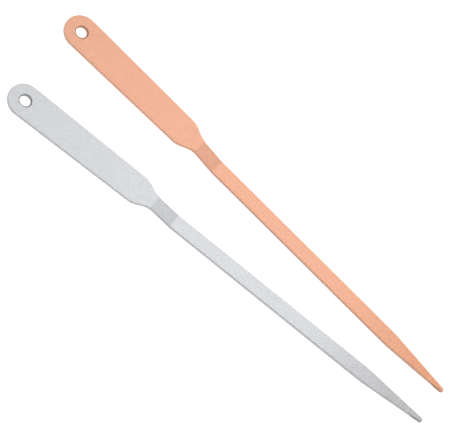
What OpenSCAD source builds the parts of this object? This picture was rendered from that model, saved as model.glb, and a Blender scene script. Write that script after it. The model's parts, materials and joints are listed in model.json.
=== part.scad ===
// A pair of flat sculpting spatulas, lying side by side with their points towards +X.
// Each one is a single blank of sheet steel: a round-ended handle with a hanging hole,
// a step down at the shoulder, and a long narrow blade that ends in a tapered point.
// The handle leans down from the step to the butt, so a spatula lies on its blade and its butt.

/* [Blank] */
// Overall length, from the round butt to the tip
length = 228; // [200:1:250]
// Width across the round butt
butt_w = 15.9; // [13:0.1:18]
// Width of the handle where the shoulder starts
handle_w = 14.2; // [11:0.1:15]
// Width of the neck and the blade
blade_w = 7.1; // [5:0.1:8]
// Thickness of the sheet
sheet_t = 1.5; // [1:0.1:2]

/* [Shoulder] */
// Distance from the butt to the start of the shoulder
shoulder_x = 68.5; // [60:0.1:70]
// Radius of the shoulder's outward curve
shoulder_r = 11; // [8:0.5:13]
// Radius of the shoulder's inward curve, which meets the neck
neck_r = 12.3; // [8:0.1:14]

/* [Point] */
// Length of the tapered point
point_len = 31.8; // [25:0.1:45]
// Radius that eases the blade's sides into the taper
point_ease_r = 60; // [20:1:80]
// Radius of the rounded tip
tip_r = 0.95; // [0.5:0.05:1.2]

/* [Step] */
// Distance from the butt to the upper bend, along the underside
upper_bend_x = 78; // [77:0.1:82]
// Distance from the butt to the crease where the blade starts, along the underside
crease_x = 90.4; // [88:0.1:96]
// Height of the underside at the upper bend
step_h = 1.9; // [1:0.1:3]
// Radius of the underside at the upper bend
upper_bend_r = 12; // [1:0.5:16]
// Radius of the top face in the crease
crease_r = 0.6; // [0.3:0.1:2]

/* [Hanging hole] */
// Distance from the butt to the centre of the hole
hole_x = 8; // [7.6:0.1:12]
// Radius of the hole
hole_r = 2.6; // [1.5:0.05:3.5]
// Size of the chamfer on each lip of the hole
hole_chamfer = 0.25; // [0.1:0.05:0.4]

/* [Pair] */
// How far ahead of the rose gold spatula's hole the silver one's lies, along +X
silver_ahead = 4; // [0:0.1:20]
// How far to the side of it the silver one's hole lies, along -Y
silver_aside = 43.9; // [40:0.1:60]
// Angle that the silver spatula is turned, so that its point nears the other one's
silver_turn = 6.8; // [0:0.05:7]

/* [Hidden] */
$fn = 96;
// Straight pieces in each computed curve
ARC_STEPS = 16;
// How far a trimming or cutting shape runs past the blank
SPARE = 2;
// Turn of the hole about its own axis, which keeps its seam off the spatula's middle plane
SEAM_TURN = 11;

butt_r = butt_w / 2;
butt_centre = [butt_r, 0];
tip_centre = [length - tip_r, 0];

// The handle's side is the tangent from the shoulder's corner to the butt's circle.
shoulder_corner = [shoulder_x, handle_w / 2];
handle_side = tangent_angle(shoulder_corner, butt_centre, butt_r, 1);

// The shoulder is two curves that meet at this angle and end level with the blade's side.
shoulder_centre = shoulder_corner - polar(shoulder_r, handle_side);
shoulder_side = asin((blade_w / 2 + neck_r - shoulder_centre[1]) / (shoulder_r + neck_r));
neck_centre = shoulder_centre + polar(shoulder_r + neck_r, shoulder_side);

// The point's side is the tangent from the taper's corner to the tip's circle.
point_corner = [length - point_len, blade_w / 2];
point_side = tangent_angle(point_corner, tip_centre, tip_r, -1);
point_ease_centre = point_corner - point_ease_r * [tan((90 - point_side) / 2), 1];

// Angles of the handle and of the ramp to the blade.
handle_pitch = atan(step_h / upper_bend_x);
ramp_pitch = atan(step_h / (crease_x - upper_bend_x));
handle_up = polar(1, 90 + handle_pitch);
ramp_up = polar(1, 90 - ramp_pitch);
blade_up = [0, 1];
upper_bend_centre = [upper_bend_x, step_h] - bend_reach(upper_bend_r, handle_up, ramp_up);
crease_centre = [crease_x, 0] + bend_reach(crease_r + sheet_t, ramp_up, blade_up);

// The pair's box on the surface, from each hole, to put the origin at its middle.
silver_tip_x = silver_ahead + (tip_centre[0] - hole_x) * cos(silver_turn) + tip_r;
pair_x = [-hole_x, max(length - hole_x, silver_tip_x)];
pair_y = [-silver_aside - (hole_x - butt_r) * sin(silver_turn) - butt_r, butt_r];
rose_gold_hole = -[pair_x[0] + pair_x[1], pair_y[0] + pair_y[1]] / 2;
silver_hole = rose_gold_hole + [silver_ahead, -silver_aside];

function polar(r, angle) = r * [cos(angle), sin(angle)];

function arc(centre, r, from, to) =
    [for (i = [0:ARC_STEPS]) centre + polar(r, from + (to - from) * i / ARC_STEPS)];

// Direction, from a circle's centre, of the place where the tangent from a point touches it.
function tangent_angle(point, centre, r, side) =
    let (away = point - centre)
    atan2(away[1], away[0]) + side * acos(r / norm(away));

// Way from the corner of two lines to the centre of the curve that rounds it, given their normals.
function bend_reach(r, up_a, up_b) = r * (up_a + up_b) / (1 + up_a * up_b);

function reversed(points) = [for (i = [len(points) - 1:-1:0]) points[i]];

// From the middle of the butt, along one side, to the middle of the tip.
function one_side() = concat(
    arc(butt_centre, butt_r, 180, handle_side),
    arc(shoulder_centre, shoulder_r, handle_side, shoulder_side),
    arc(neck_centre, neck_r, 180 + shoulder_side, 270),
    arc(point_ease_centre, point_ease_r, 90, point_side),
    arc(tip_centre, tip_r, point_side, 0)
);

// The blank seen from above.
module outline() {
    side = one_side();
    last = len(side) - 1;
    polygon(concat(side, [for (i = [last - 1:-1:1]) [side[i][0], -side[i][1]]]));
}

// The bent sheet seen from the side, with x along the spatula and y upwards.
module bent_sheet() {
    drop = SPARE * tan(handle_pitch);
    butt_underside = [-SPARE, -drop];
    butt_top = [-SPARE, sheet_t / cos(handle_pitch) - drop];
    underside = concat(
        [butt_underside],
        arc(upper_bend_centre, upper_bend_r, 90 + handle_pitch, 90 - ramp_pitch),
        arc(crease_centre, crease_r + sheet_t, 270 - ramp_pitch, 270),
        [[length + SPARE, 0]]
    );
    top = concat(
        [butt_top],
        arc(upper_bend_centre, upper_bend_r + sheet_t, 90 + handle_pitch, 90 - ramp_pitch),
        arc(crease_centre, crease_r, 270 - ramp_pitch, 270),
        [[length + SPARE, sheet_t]]
    );
    polygon(concat(underside, reversed(top)));
}

// Square to the handle, with both lips chamfered.
module hanging_hole() {
    lip_r = hole_r + hole_chamfer;
    translate([hole_x, 0, hole_x * tan(handle_pitch)]) rotate([0, -handle_pitch, 0]) rotate([0, 0, SEAM_TURN]) {
        translate([0, 0, -SPARE]) cylinder(h = sheet_t + 2 * SPARE, r = hole_r);
        cylinder(h = hole_chamfer, r1 = lip_r, r2 = hole_r);
        translate([0, 0, sheet_t - hole_chamfer]) cylinder(h = hole_chamfer, r1 = hole_r, r2 = lip_r);
    }
}

// One spatula, with its butt at x = 0 and the underside of its blade at z = 0.
module spatula() {
    difference() {
        intersection() {
            translate([0, 0, -SPARE]) linear_extrude(step_h + sheet_t + 2 * SPARE) outline();
            rotate([90, 0, 0]) linear_extrude(butt_w + 2 * SPARE, center = true) bent_sheet();
        }
        hanging_hole();
    }
}

module rose_gold_spatula() {
    color("#f0b693") translate(rose_gold_hole) translate([-hole_x, 0, 0]) spatula();
}

module silver_spatula() {
    color("#d9dadd") translate(silver_hole) rotate([0, 0, silver_turn]) translate([-hole_x, 0, 0]) spatula();
}

rose_gold_spatula();
silver_spatula();
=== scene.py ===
"""Two flat steel sculpting spatulas, rose gold and silver, on a white table in soft studio light.

Lengths are in metres. A spatula's own frame has its x axis along the tool, from the butt to the tip, and its
origin on the table, straight under the middle of the hanging hole.
"""

import json
import math

import bpy
from mathutils import Matrix, Vector


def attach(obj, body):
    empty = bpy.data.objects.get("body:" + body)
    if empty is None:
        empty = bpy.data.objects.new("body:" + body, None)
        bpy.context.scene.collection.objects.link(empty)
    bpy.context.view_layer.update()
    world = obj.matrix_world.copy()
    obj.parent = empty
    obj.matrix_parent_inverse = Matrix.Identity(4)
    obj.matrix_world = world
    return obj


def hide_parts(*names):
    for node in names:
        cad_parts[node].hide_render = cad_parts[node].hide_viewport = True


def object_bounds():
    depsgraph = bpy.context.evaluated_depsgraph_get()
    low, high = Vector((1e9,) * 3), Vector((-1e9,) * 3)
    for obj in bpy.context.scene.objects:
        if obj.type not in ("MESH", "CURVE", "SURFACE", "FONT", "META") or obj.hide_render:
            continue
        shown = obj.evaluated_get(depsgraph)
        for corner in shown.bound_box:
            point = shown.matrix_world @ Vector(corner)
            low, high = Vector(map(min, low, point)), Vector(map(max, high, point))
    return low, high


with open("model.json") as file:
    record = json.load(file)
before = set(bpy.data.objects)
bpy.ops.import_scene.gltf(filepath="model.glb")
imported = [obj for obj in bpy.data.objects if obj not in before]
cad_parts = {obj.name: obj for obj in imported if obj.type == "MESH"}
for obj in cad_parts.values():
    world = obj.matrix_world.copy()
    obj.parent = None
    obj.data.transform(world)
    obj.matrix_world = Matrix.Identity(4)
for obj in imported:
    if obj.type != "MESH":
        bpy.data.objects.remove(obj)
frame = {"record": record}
cad_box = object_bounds()

MM = 0.001

# The blank, as in part.scad. Each x is measured along the tool from the butt's end.
LENGTH = 228 * MM
BUTT_R = 15.9 / 2 * MM
HANDLE_HALF = 14.2 / 2 * MM
BLADE_HALF = 7.1 / 2 * MM
SHEET_T = 1.5 * MM
SHOULDER_X = 68.5 * MM
SHOULDER_R = 11 * MM
NECK_R = 12.3 * MM
POINT_LEN = 31.8 * MM
POINT_EASE_R = 60 * MM
TIP_R = 0.95 * MM
UPPER_BEND_X = 78 * MM
CREASE_X = 90.4 * MM
STEP_H = 1.9 * MM
UPPER_BEND_R = 12 * MM
CREASE_R = 0.6 * MM
HOLE_X = 8 * MM
HOLE_R = 2.6 * MM

# The edges are rounded a little. The hole's lips are worn further over the face than down the wall.
EDGE_R = 0.2 * MM
LIP_OVER = 0.85 * MM
LIP_DOWN = 0.25 * MM
# The underside's edges are sharper: they have these shares of the top's rounding.
EDGE_UNDER = 0.15
LIP_UNDER = 0.6
# The rim attribute runs from 0 on a face to these on the outer wall and on the hole's wall.
WALL_RIM = 1
BORE_RIM = -1

# How finely the mesh is divided: across the strip, outwards from the hole, round the butt, along the sides
# beside the hole, and round an edge.
COLUMNS = 10
RINGS = 6
BUTT_STEPS = 36
SIDE_STEPS = 5
EDGE_STEPS = 5
# Where the strip starts, beyond the hole.
STRIP_START_X = 18 * MM
# How far apart its rows are: on the handle and the blade, between the shoulder and the crease, in the upper
# bend, in the crease, in the curve that starts the point, and on the point.
FLAT_STEP = 3 * MM
NECK_STEP = 0.7 * MM
BEND_STEP = 0.2 * MM
CREASE_STEP = 0.05 * MM
EASE_STEP = 1 * MM
POINT_STEP = 1.5 * MM
# The last rows, from this far before the tip's arc, turn to its curve.
TURN_LEN = 1 * MM
TURN_ROWS = 4


def polar(r, angle):
    return Vector((r * math.cos(angle), r * math.sin(angle)))


def tangent_angle(point, centre, r, side):
    """Direction, from a circle's centre, of the place where the tangent from a point touches it."""
    away = point - centre
    return math.atan2(away.y, away.x) + side * math.acos(r / away.length)


def mix(a, b, share):
    return a + (b - a) * share


def mix_pair(pair, other, share):
    return pair[0].lerp(other[0], share), pair[1].lerp(other[1], share)


class Outline:
    """The blank's edge, seen from above.

    Each angle is from an arc's centre to where the arc ends on the +Y side.
    """

    butt = Vector((BUTT_R, 0))
    tip = Vector((LENGTH - TIP_R, 0))

    def __init__(self):
        corner = Vector((SHOULDER_X, HANDLE_HALF))
        self.handle_angle = tangent_angle(corner, self.butt, BUTT_R, 1)
        self.shoulder = corner - polar(SHOULDER_R, self.handle_angle)
        reach = SHOULDER_R + NECK_R
        self.shoulder_angle = math.asin((BLADE_HALF + NECK_R - self.shoulder.y) / reach)
        self.neck = self.shoulder + polar(reach, self.shoulder_angle)
        self.corner = Vector((LENGTH - POINT_LEN, BLADE_HALF))
        self.point_angle = tangent_angle(self.corner, self.tip, TIP_R, -1)
        ease = math.tan((math.pi / 2 - self.point_angle) / 2)
        self.ease = self.corner - POINT_EASE_R * Vector((ease, 1))
        self.butt_end_x = (self.butt + polar(BUTT_R, self.handle_angle)).x
        self.shoulder_mid_x = (self.shoulder + polar(SHOULDER_R, self.shoulder_angle)).x
        self.ease_end_x = (self.ease + polar(POINT_EASE_R, self.point_angle)).x
        self.tip_start = self.tip + polar(TIP_R, self.point_angle)

    def side(self, x):
        """The y of the +Y side and its slope, at any x between the butt's arc and the tip's."""
        if x < SHOULDER_X:
            start = self.butt + polar(BUTT_R, self.handle_angle)
            slope = -1 / math.tan(self.handle_angle)
            return start.y + (x - start.x) * slope, slope
        if x < self.shoulder_mid_x:
            return self._arc(x, self.shoulder, SHOULDER_R, 1)
        if x < self.neck.x:
            return self._arc(x, self.neck, NECK_R, -1)
        if x < self.ease.x:
            return BLADE_HALF, 0
        if x < self.ease_end_x:
            return self._arc(x, self.ease, POINT_EASE_R, 1)
        slope = -1 / math.tan(self.point_angle)
        return self.tip_start.y + (x - self.tip_start.x) * slope, slope

    @staticmethod
    def _arc(x, centre, r, way):
        """The same on an arc. way is 1 for its +Y half."""
        across = x - centre.x
        up = math.sqrt(r * r - across * across)
        return centre.y + way * up, -way * across / up


class Sheet:
    """The bent sheet, seen from the side: leaning handle, upper bend, step, crease and blade."""

    def __init__(self):
        self.handle_lean = math.atan(STEP_H / UPPER_BEND_X)
        self.step_lean = math.atan(STEP_H / (CREASE_X - UPPER_BEND_X))
        handle_up = polar(1, math.pi / 2 + self.handle_lean)
        step_up = polar(1, math.pi / 2 - self.step_lean)
        blade_up = Vector((0, 1))
        top = Vector((UPPER_BEND_X, STEP_H))
        foot = Vector((CREASE_X, 0))
        self.bend_centre = top - self._reach(UPPER_BEND_R, handle_up, step_up)
        self.crease_centre = foot + self._reach(CREASE_R + SHEET_T, step_up, blade_up)
        self.bend_r = UPPER_BEND_R + SHEET_T / 2
        self.crease_r = CREASE_R + SHEET_T / 2
        self.bend = [self.bend_centre + self.bend_r * up for up in (handle_up, step_up)]
        self.crease = [self.crease_centre - self.crease_r * up for up in (step_up, blade_up)]
        self.ups = (handle_up, step_up, blade_up)

    @staticmethod
    def _reach(r, up_a, up_b):
        """From the corner of two faces with these normals to the centre of the arc that rounds it."""
        return r * (up_a + up_b) / (1 + up_a.dot(up_b))

    def at(self, x):
        """The middle surface's height and its normal."""
        handle_up, step_up, blade_up = self.ups
        if x < self.bend[0].x:
            return self.bend[0].y + (x - self.bend[0].x) * math.tan(self.handle_lean), handle_up
        if x < self.bend[1].x:
            up = polar(1, math.acos((x - self.bend_centre.x) / self.bend_r))
            return self.bend_centre.y + self.bend_r * up.y, up
        if x < self.crease[0].x:
            return self.bend[1].y - (x - self.bend[1].x) * math.tan(self.step_lean), step_up
        if x < self.crease[1].x:
            up = polar(1, math.acos((self.crease_centre.x - x) / self.crease_r))
            return self.crease_centre.y - self.crease_r * up.y, up
        return SHEET_T / 2, blade_up

    def point(self, x, y, h):
        """The place at height h over the middle surface, in the spatula's own frame."""
        z, up = self.at(x)
        return Vector((x + h * up.x - HOLE_X, y, z + h * up.y))


outline = Outline()
sheet = Sheet()


def spaced(start, end, step):
    count = max(1, round((end - start) / step))
    return [mix(start, end, i / count) for i in range(count)]


def stations():
    """Where the strip has its rows, closer together wherever it curves."""
    bend, crease = [p.x for p in sheet.bend], [p.x for p in sheet.crease]
    last = outline.tip_start.x - TURN_LEN
    return (
        spaced(STRIP_START_X, SHOULDER_X, FLAT_STEP)
        + spaced(SHOULDER_X, bend[0], NECK_STEP)
        + spaced(bend[0], bend[1], BEND_STEP)
        + spaced(bend[1], crease[0], NECK_STEP)
        + spaced(crease[0], crease[1], CREASE_STEP)
        + spaced(crease[1], outline.ease.x, FLAT_STEP)
        + spaced(outline.ease.x, outline.ease_end_x, EASE_STEP)
        + spaced(outline.ease_end_x, last, POINT_STEP)
        + [last]
    )


class Blank:
    """Gathers the mesh of one spatula: both faces from one flat grid, joined by rounded edges."""

    def __init__(self):
        self.points, self.faces, self.rim = [], [], []
        self.flat = []

    def add(self, place, h, rim=0.0):
        self.points.append(sheet.point(place.x, place.y, h))
        self.rim.append(rim)
        return len(self.points) - 1

    def spot(self, place):
        """A point of the flat grid: its two ends on the top and the underside."""
        self.flat.append((self.add(place, SHEET_T / 2), self.add(place, -SHEET_T / 2)))
        return len(self.flat) - 1

    def rounding(self, inner, outer, down, face, rim, first):
        """Points from a flat face round to the wall. face is 1 for the top and -1 for the underside.

        first is the first of them to make. It is 1 where the face already has the one at the start.
        """
        points = []
        for i in range(first, EDGE_STEPS + 1):
            turn = math.pi / 2 * i / EDGE_STEPS
            h = SHEET_T / 2 - down * (1 - math.cos(turn))
            points.append(self.add(inner.lerp(outer, math.sin(turn)), face * h, rim * i / EDGE_STEPS))
        return points

    def patch(self, a, b, c, d):
        """One quad between four spots, on the top and on the underside."""
        corners = [self.flat[i] for i in (a, b, c, d)]
        self.faces.append([top for top, under in corners])
        self.faces.append([under for top, under in reversed(corners)])

    def edge(self, ring, down, under_share, rim):
        """Closes a ring of (spot, inner place, outer place) with a wall, rounded down from the top face."""
        columns = []
        for spot, inner, outer in ring:
            top, under = self.flat[spot]
            over = self.rounding(inner, outer, down, 1, rim, 1)
            sharper = outer.lerp(inner, under_share)
            below = self.rounding(sharper, outer, down * under_share, -1, rim, 0)
            columns.append([top, *over, *below[::-1], under])
        for i, column in enumerate(columns):
            after = columns[(i + 1) % len(columns)]
            for a, b, c, d in zip(column, column[1:], after[1:], after):
                self.faces.append([a, b, c, d])


def side_pair(x, way):
    """The inner and the outer place of the edge at x. way is 1 for the +Y side."""
    y, slope = outline.side(x)
    inset = EDGE_R * math.hypot(1, slope)
    return Vector((x, way * (y - inset))), Vector((x, way * y))


def round_pair(centre, r, angle):
    """The inner and the outer place of the edge on a round end."""
    return centre + polar(r - EDGE_R, angle), centre + polar(r, angle)


def add_strip(blank):
    """The handle beyond the hole, the step and the blade.

    Gives its rows of spots, the edge pairs at each row's two ends, and those round the tip.
    """
    rows, sides = [], []
    for x in stations():
        lower, upper = side_pair(x, -1), side_pair(x, 1)
        rows.append([blank.spot(lower[0].lerp(upper[0], j / COLUMNS)) for j in range(COLUMNS + 1)])
        sides.append((lower, upper))
    # The last rows turn from straight across to the curve of the tip.
    angles = [mix(-outline.point_angle, outline.point_angle, j / COLUMNS) for j in range(COLUMNS + 1)]
    ends = [round_pair(outline.tip, TIP_R, a) for a in angles]
    for i in range(1, TURN_ROWS + 1):
        share = i / TURN_ROWS
        row = []
        for j in range(COLUMNS + 1):
            straight = lower[0].lerp(upper[0], j / COLUMNS)
            row.append(blank.spot(straight.lerp(ends[j][0], share)))
        rows.append(row)
        sides.append((mix_pair(lower, ends[0], share), mix_pair(upper, ends[-1], share)))
    for row, after in zip(rows, rows[1:]):
        for j in range(COLUMNS):
            blank.patch(row[j], after[j], after[j + 1], row[j + 1])
    return rows, sides, ends


def add_butt(blank, first_row):
    """The round end: rings of quads from the hole out to the edge and to the strip's first row.

    Closes the hole's wall, and gives the outer edge's spots with their edge pairs.
    """
    xs = [mix(STRIP_START_X, outline.butt_end_x, i / SIDE_STEPS) for i in range(1, SIDE_STEPS)]
    upper = [side_pair(x, 1) for x in xs]
    lower = [side_pair(x, -1) for x in reversed(xs)]
    turn = 2 * (math.pi - outline.handle_angle)
    angles = [outline.handle_angle + turn * i / BUTT_STEPS for i in range(BUTT_STEPS + 1)]
    arc = [round_pair(outline.butt, BUTT_R, a) for a in angles]
    edge = upper + arc + lower
    start_low, start_high = side_pair(STRIP_START_X, -1)[0], side_pair(STRIP_START_X, 1)[0]
    across = [start_low.lerp(start_high, j / COLUMNS) for j in range(COLUMNS + 1)]
    bound = list(zip(across, first_row)) + [(pair[0], None) for pair in edge]
    hole = Vector((HOLE_X, 0))
    ways = [(p - hole).normalized() for p, spot in bound]
    lips = [(hole + way * (HOLE_R + LIP_OVER), hole + way * HOLE_R) for way in ways]
    rings = []
    for ring in range(RINGS + 1):
        row = []
        for (p, spot), lip in zip(bound, lips):
            at_bound = ring == RINGS and spot is not None
            row.append(spot if at_bound else blank.spot(lip[0].lerp(p, ring / RINGS)))
        rings.append(row)
    count = len(bound)
    for inner, outer in zip(rings, rings[1:]):
        for j in range(count):
            k = (j + 1) % count
            blank.patch(inner[j], outer[j], outer[k], inner[k])
    lip_ring = [(spot, *lip) for spot, lip in zip(rings[0], lips)]
    blank.edge(lip_ring[::-1], LIP_DOWN, LIP_UNDER, BORE_RIM)
    outer_spots = rings[-1][COLUMNS + 1 :]
    return [(spot, *pair) for spot, pair in zip(outer_spots, edge)]


def spatula_mesh(name):
    blank = Blank()
    rows, sides, ends = add_strip(blank)
    butt_edge = add_butt(blank, rows[0])
    lower = [(row[0], *pair[0]) for row, pair in zip(rows, sides)]
    upper = [(row[-1], *pair[1]) for row, pair in zip(rows, sides)]
    tip = [(spot, *pair) for spot, pair in zip(rows[-1], ends)]
    blank.edge(lower + tip[1:-1] + upper[::-1] + butt_edge, EDGE_R, EDGE_UNDER, WALL_RIM)
    mesh = bpy.data.meshes.new(name)
    mesh.from_pydata(blank.points, [], blank.faces)
    mesh.shade_smooth()
    rim = mesh.attributes.new("rim", "FLOAT", "POINT")
    rim.data.foreach_set("value", blank.rim)
    mesh.validate()
    return mesh


def mount(name):
    return next(m for m in frame["record"]["mounts"] if m["name"] == name)


def resting_place(hole):
    """Where a spatula lies: its own frame, from the place and the lean of its hanging hole."""
    lean = Vector(hole["axis"])
    turn = Matrix.Rotation(math.atan2(-lean.y, -lean.x), 4, "Z")
    own = sheet.point(HOLE_X, 0, 0)
    return Matrix.Translation(Vector(hole["pos_m"])) @ turn @ Matrix.Translation(-own)


# ---------------------------------------------------------------- materials

# Where the look changes along the tool, from the butt's end: the first place starts the change, the second
# ends it.
STEP_START = (UPPER_BEND_X - 1 * MM, UPPER_BEND_X + 2 * MM)
STEP_END = (CREASE_X - 0.6 * MM, CREASE_X + 0.2 * MM)
TO_GRAINY = (68 * MM, 138 * MM)
# From here the point turns to its ground finish: grinding marks and roughness, and a darker colour that is
# partly painted shade.
TO_GROUND_AND_SHADE = (LENGTH - 70 * MM, LENGTH - 2 * MM)
TIP_START = (LENGTH - 6.5 * MM, LENGTH - 4 * MM)
# The part of an edge's rounding that keeps the face's colour, and the part of a lip that turns to the painted
# shade of the hole.
FACE_ROUND = 0.6
LIP_ROUND = 0.6
# How much the tone swings to either side: in clouds, in the handle's and the blade's grain, and in the marks
# of grinding.
CLOUD_TONE = 0.008
HANDLE_TONE = 0.035
BLADE_TONE = 0.15
MARK_TONE = 0.08
# How much darker still the tip's wall is.
TIP_SHADE = 0.35
# The grain's range of roughness, and how much rougher the ground point is.
SMOOTHEST = 0.36
ROUGHEST = 0.44
GROUND_ROUGHER = 0.05
# How high the grain, the drawn lines and the marks of grinding stand, as shares of the bump's depth.
GRAIN_HEIGHT = 0.5
DRAWN_HEIGHT = 0.35
MARK_HEIGHT = 1.2
BUMP_DEPTH = 0.03 * MM
BUMP_STRENGTH = 0.2


class Nodes:
    """A small helper that builds one material's node tree."""

    def __init__(self, name):
        self.material = bpy.data.materials.new(name)
        self.material.use_nodes = True
        self.tree = self.material.node_tree
        self.shader = self.tree.nodes["Principled BSDF"]

    def make(self, kind, inputs=(), **settings):
        node = self.tree.nodes.new("ShaderNode" + kind)
        for key, value in settings.items():
            setattr(node, key, value)
        for key, value in dict(inputs).items():
            self.feed(node.inputs[key], value)
        return node

    def feed(self, socket, value):
        if isinstance(value, bpy.types.NodeSocket):
            self.tree.links.new(value, socket)
        else:
            socket.default_value = value

    def own_place(self, stretch=(1, 1, 1)):
        """The spatula's own coordinates, stretched to turn noise into lines."""
        place = self.make("TexCoord").outputs["Object"]
        return self.make("Mapping", {"Vector": place, "Scale": stretch}).outputs["Vector"]

    def noise(self, scale, detail, stretch=(1, 1, 1), roughness=0.55, distortion=0.0):
        settings = {
            "Vector": self.own_place(stretch),
            "Scale": scale,
            "Detail": detail,
            "Roughness": roughness,
            "Distortion": distortion,
        }
        return self.make("TexNoise", settings).outputs["Fac"]

    def ramp(self, value, low, high, start=0.0, end=1.0):
        settings = {"Value": value, "From Min": low, "From Max": high, "To Min": start, "To Max": end}
        return self.make("MapRange", settings, interpolation_type="SMOOTHSTEP").outputs["Result"]

    def swing(self, noise, amount):
        """A noise turned to run from -amount to amount."""
        return self.ramp(noise, 0.3, 0.7, -amount, amount)

    def maths(self, operation, a, b):
        node = self.make("Math", operation=operation)
        self.feed(node.inputs[0], a)
        self.feed(node.inputs[1], b)
        return node.outputs[0]

    def blend(self, share, a, b, mode="MIX"):
        node = self.make("Mix", data_type="RGBA", blend_type=mode)
        for socket, value in zip((0, 6, 7), (share, a, b)):
            self.feed(node.inputs[socket], value)
        return node.outputs[2]


def satin_steel(name, step_shade, face, ground_and_shade, wall, painted_shade):
    """Satin metal with a fine tumbled grain, smoother on the handle, a cut wall and a crosswise ground point,
    darkened in places by painted shade.

    The hole's wall and lips and the tip's wall get a colour that is painted shade. The outer wall's colour is
    partly the cut edge's own and partly painted shade. The point's ground colour is partly painted shade
    where it darkens. step_shade is how much darker the step is.
    """
    n = Nodes(name)
    along = n.make("SeparateXYZ", {"Vector": n.make("TexCoord").outputs["Object"]}).outputs["X"]
    rim = n.make("Attribute", attribute_name="rim").outputs["Fac"]

    def change(places, before=0.0, after=1.0):
        return n.ramp(along, places[0] - HOLE_X, places[1] - HOLE_X, before, after)

    on_point = change(TO_GROUND_AND_SHADE)
    on_step = n.maths("SUBTRACT", change(STEP_START), change(STEP_END))
    on_wall = n.ramp(rim, FACE_ROUND * WALL_RIM, WALL_RIM)
    # Painted shade over the hole's lips and wall, and on the tip's wall.
    on_bore = n.ramp(n.maths("MULTIPLY", rim, BORE_RIM), 0.0, LIP_ROUND)
    on_tip = n.maths("MULTIPLY", change(TIP_START), on_wall)
    on_painted_shade = n.maths("MAXIMUM", on_bore, on_tip)

    grain = n.noise(scale=1400, detail=4.0)
    speckle = n.noise(scale=2000, detail=2.0, roughness=0.7)
    cloud = n.noise(scale=160, detail=2.0, stretch=(1, 1.6, 1))
    drawn = n.noise(scale=900, detail=2.0, stretch=(0.06, 1, 1))
    marks = n.noise(scale=1200, detail=3.0, stretch=(1, 0.12, 0.12), distortion=0.3)

    # The point's ground colour is partly painted shade where it darkens.
    colour = n.blend(on_point, face, ground_and_shade)
    # The outer wall's colour is partly the cut edge's own and partly painted shade.
    colour = n.blend(on_wall, colour, wall)
    colour = n.blend(on_painted_shade, colour, painted_shade)
    speckled = n.maths("MULTIPLY", n.swing(speckle, 1.0), change(TO_GRAINY, HANDLE_TONE, BLADE_TONE))
    tone = n.maths("ADD", n.swing(cloud, CLOUD_TONE), speckled)
    marked = n.maths("MULTIPLY", on_point, n.swing(marks, MARK_TONE))
    tone = n.maths("ADD", n.maths("ADD", tone, marked), 1.0)
    tone = n.maths("SUBTRACT", tone, n.maths("MULTIPLY", on_step, step_shade))
    tone = n.maths("SUBTRACT", tone, n.maths("MULTIPLY", on_tip, TIP_SHADE))
    grey = n.make("CombineColor", {0: tone, 1: tone, 2: tone}).outputs[0]
    n.feed(n.shader.inputs["Base Color"], n.blend(1.0, colour, grey, "MULTIPLY"))

    rough = n.ramp(grain, 0.25, 0.75, SMOOTHEST, ROUGHEST)
    rough = n.maths("ADD", rough, n.maths("MULTIPLY", on_point, GROUND_ROUGHER))
    n.feed(n.shader.inputs["Roughness"], rough)
    n.shader.inputs["Metallic"].default_value = 1.0

    height = n.maths("MULTIPLY", grain, GRAIN_HEIGHT)
    height = n.maths("ADD", height, n.maths("MULTIPLY", drawn, DRAWN_HEIGHT))
    height = n.maths("ADD", height, n.maths("MULTIPLY", n.maths("MULTIPLY", on_point, marks), MARK_HEIGHT))
    bump = n.make("Bump", {"Height": height, "Strength": BUMP_STRENGTH, "Distance": BUMP_DEPTH})
    n.feed(n.shader.inputs["Normal"], bump.outputs["Normal"])
    return n.material


# ---------------------------------------------------------------- the two spatulas

# Each finish gives how much painted shade darkens the step, and these colours: the faces; the ground point,
# partly painted shade; the outer wall, partly painted shade; and the painted shade on the hole and the tip's
# wall.
FINISHES = {
    "rose_gold": {
        "step_shade": 0.015,
        "face": (0.89, 0.472, 0.32, 1),
        "ground_and_shade": (0.93, 0.46, 0.28, 1),
        "wall": (0.5, 0.335, 0.28, 1),
        "painted_shade": (0.52, 0.3, 0.21, 1),
    },
    "silver": {
        "step_shade": 0.04,
        "face": (0.7, 0.71, 0.73, 1),
        "ground_and_shade": (0.61, 0.61, 0.62, 1),
        "wall": (0.42, 0.42, 0.43, 1),
        "painted_shade": (0.37, 0.37, 0.38, 1),
    },
}


def make_spatula(finish):
    piece = bpy.data.objects.new(finish + "_blank", spatula_mesh(finish + "_blank"))
    bpy.context.scene.collection.objects.link(piece)
    piece.matrix_world = resting_place(mount(finish + "_hanging_hole"))
    piece.data.materials.append(satin_steel(finish + "_satin", **FINISHES[finish]))
    piece.modifiers.new("even_shading", "WEIGHTED_NORMAL")
    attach(piece, finish + "_tool")
    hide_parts(finish + "_spatula")


for finish in FINISHES:
    make_spatula(finish)


# ---------------------------------------------------------------- table, light and camera

middle = (cad_box[0] + cad_box[1]) / 2

TABLE_SIZE = 60
TABLE_GLOW = 0.85
SKY = 0.37
LENS_MM = 824.4
CAMERA_AWAY = 4.5
# How far the view leans from straight down.
CAMERA_TILT = math.radians(30)
# How far below the horizontal the rose gold spatula points in the picture.
PICTURE_LEAN = math.radians(44.78)
# Each softbox: its place, width, height, and glow, which is what a mirror facing it would show.
SOFTBOXES = {
    "overhead": ((0, 0.404, 0.7), 0.5, 0.55, 1.12),
    "butt_side": ((-0.8, -0.15, 0.25), 0.5, 0.4, 0.9),
}
# How far the camera aims to the right of the middle of the part and above it, as seen in the picture.
AIM_RIGHT = 0.39 * MM
AIM_UP = 11.51 * MM


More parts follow.
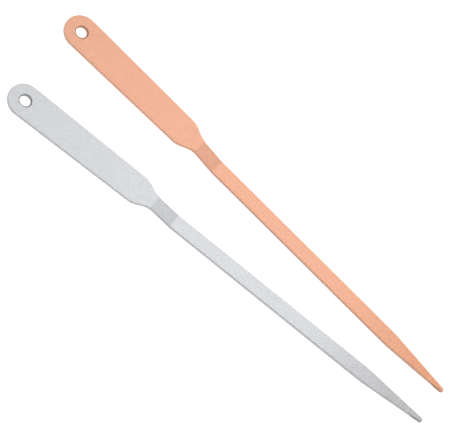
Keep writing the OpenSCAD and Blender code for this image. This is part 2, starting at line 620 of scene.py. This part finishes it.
def make_table():
    mesh = bpy.data.meshes.new("table")
    half = TABLE_SIZE / 2
    corners = [(-half, -half, 0), (half, -half, 0), (half, half, 0), (-half, half, 0)]
    mesh.from_pydata(corners, [], [(0, 1, 2, 3)])
    table = bpy.data.objects.new("table", mesh)
    bpy.context.scene.collection.objects.link(table)
    n = Nodes("white_table")
    n.shader.inputs["Base Color"].default_value = (0.9, 0.9, 0.9, 1)
    n.shader.inputs["Roughness"].default_value = 0.9
    n.shader.inputs["Emission Color"].default_value = (1, 1, 1, 1)
    n.shader.inputs["Emission Strength"].default_value = TABLE_GLOW
    mesh.materials.append(n.material)


def make_world():
    world = bpy.data.worlds.new("studio")
    bpy.context.scene.world = world
    world.use_nodes = True
    sky = world.node_tree.nodes["Background"]
    sky.inputs["Color"].default_value = (1, 1, 1, 1)
    sky.inputs["Strength"].default_value = SKY


def make_softbox(name, place, width, height, glow):
    """An evenly bright light that faces the origin."""
    light = bpy.data.lights.new(name, "AREA")
    light.shape = "RECTANGLE"
    light.size, light.size_y = width, height
    light.energy = glow * width * height * math.pi
    lamp = bpy.data.objects.new(name, light)
    bpy.context.scene.collection.objects.link(lamp)
    lamp.location = place
    lamp.rotation_euler = (-Vector(place)).to_track_quat("-Z", "Y").to_euler()


def make_camera():
    """A long lens, rolled so that the spatulas lie as they do in the picture."""
    away = Vector((0, -math.sin(CAMERA_TILT), math.cos(CAMERA_TILT)))
    along = Vector((1, 0, 0))
    across = away.cross(along)
    right = math.cos(PICTURE_LEAN) * along + math.sin(PICTURE_LEAN) * across
    up = math.cos(PICTURE_LEAN) * across - math.sin(PICTURE_LEAN) * along
    camera = bpy.data.cameras.new("camera")
    camera.sensor_width = 36
    camera.lens = LENS_MM
    camera.clip_start, camera.clip_end = 0.1, 100
    eye = bpy.data.objects.new("camera", camera)
    bpy.context.scene.collection.objects.link(eye)
    turn = Matrix((right, up, away)).transposed().to_4x4()
    aim = middle + right * AIM_RIGHT + up * AIM_UP
    eye.matrix_world = Matrix.Translation(aim + away * CAMERA_AWAY) @ turn
    bpy.context.scene.camera = eye


make_table()
make_world()
for name, settings in SOFTBOXES.items():
    make_softbox(name, *settings)
make_camera()
bpy.context.scene.view_settings.view_transform = "Standard"
